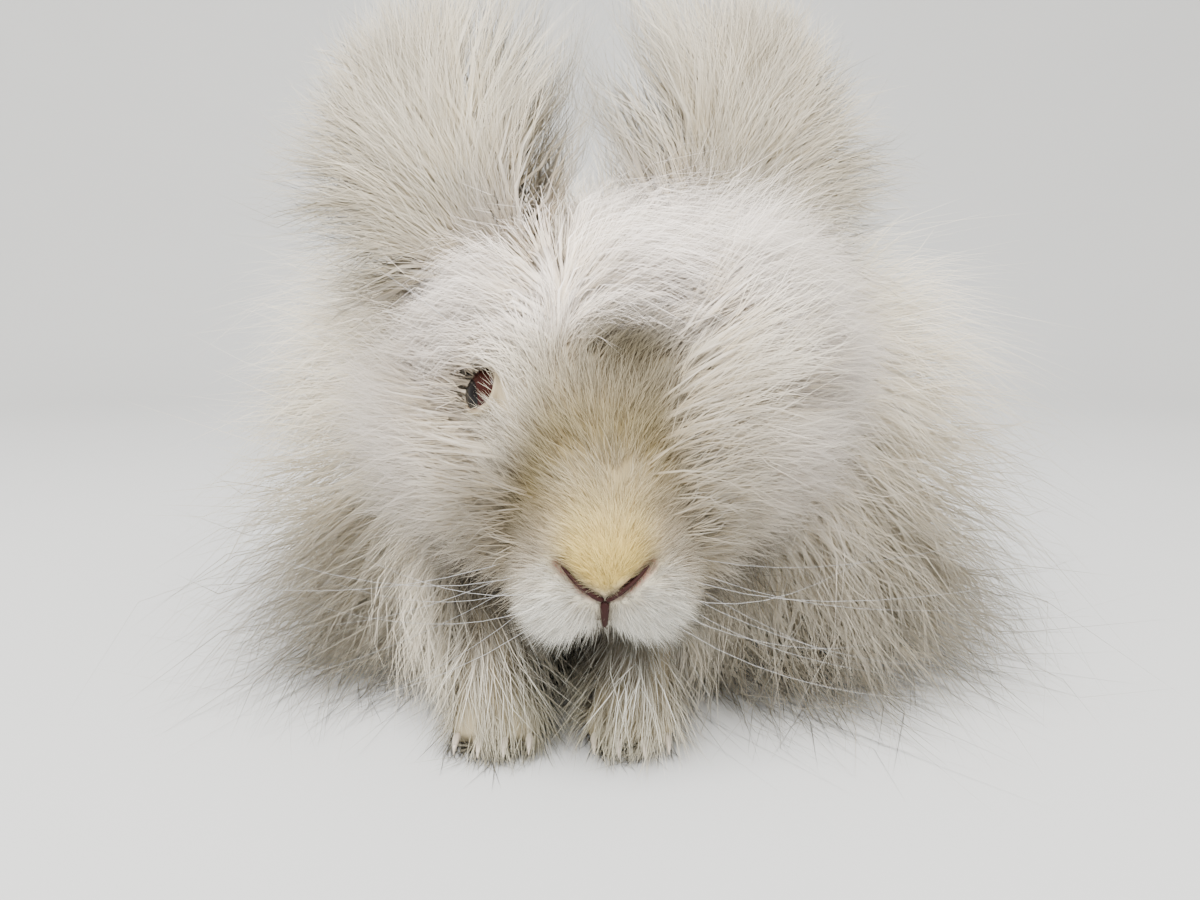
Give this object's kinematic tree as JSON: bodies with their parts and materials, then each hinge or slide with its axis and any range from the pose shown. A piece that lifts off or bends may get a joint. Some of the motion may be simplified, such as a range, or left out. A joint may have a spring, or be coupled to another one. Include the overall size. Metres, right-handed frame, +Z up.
{
  "type": "angora rabbit",
  "caption": "Life-size crouching long-haired rabbit model with raised tufted ears, a woolly round body and four furred feet flat on the floor.",
  "frame": {"origin": "on the floor under the middle of the coat's outline", "axes": "+Z up, the nose points along -Y, the animal's left side is +X"},
  "size_m": [0.2987, 0.343, 0.2282],
  "materials": {
    "wool": "long soft silver-lilac wool",
    "face_fur": "short dense fur, tan on the nose and white on the lips",
    "eye": "wet dark brown eye",
    "claw": "smooth pale horn"
  },
  "bodies": {
    "root": {"torso": "wool", "neck": "wool", "head": "face_fur", "ear_right": "wool", "ear_left": "wool", "eye_right": "eye", "eye_left": "eye", "foreleg_right": "wool", "foreleg_left": "wool", "hindleg_right": "wool", "hindleg_left": "wool", "tail": "wool", "claw_fore_right_1": "claw", "claw_fore_right_2": "claw", "claw_fore_right_3": "claw", "claw_fore_right_4": "claw", "claw_fore_left_1": "claw", "claw_fore_left_2": "claw", "claw_fore_left_3": "claw", "claw_fore_left_4": "claw", "claw_hind_right_1": "claw", "claw_hind_right_2": "claw", "claw_hind_right_3": "claw", "claw_hind_right_4": "claw", "claw_hind_left_1": "claw", "claw_hind_left_2": "claw", "claw_hind_left_3": "claw", "claw_hind_left_4": "claw"}
  },
  "joints": []
}
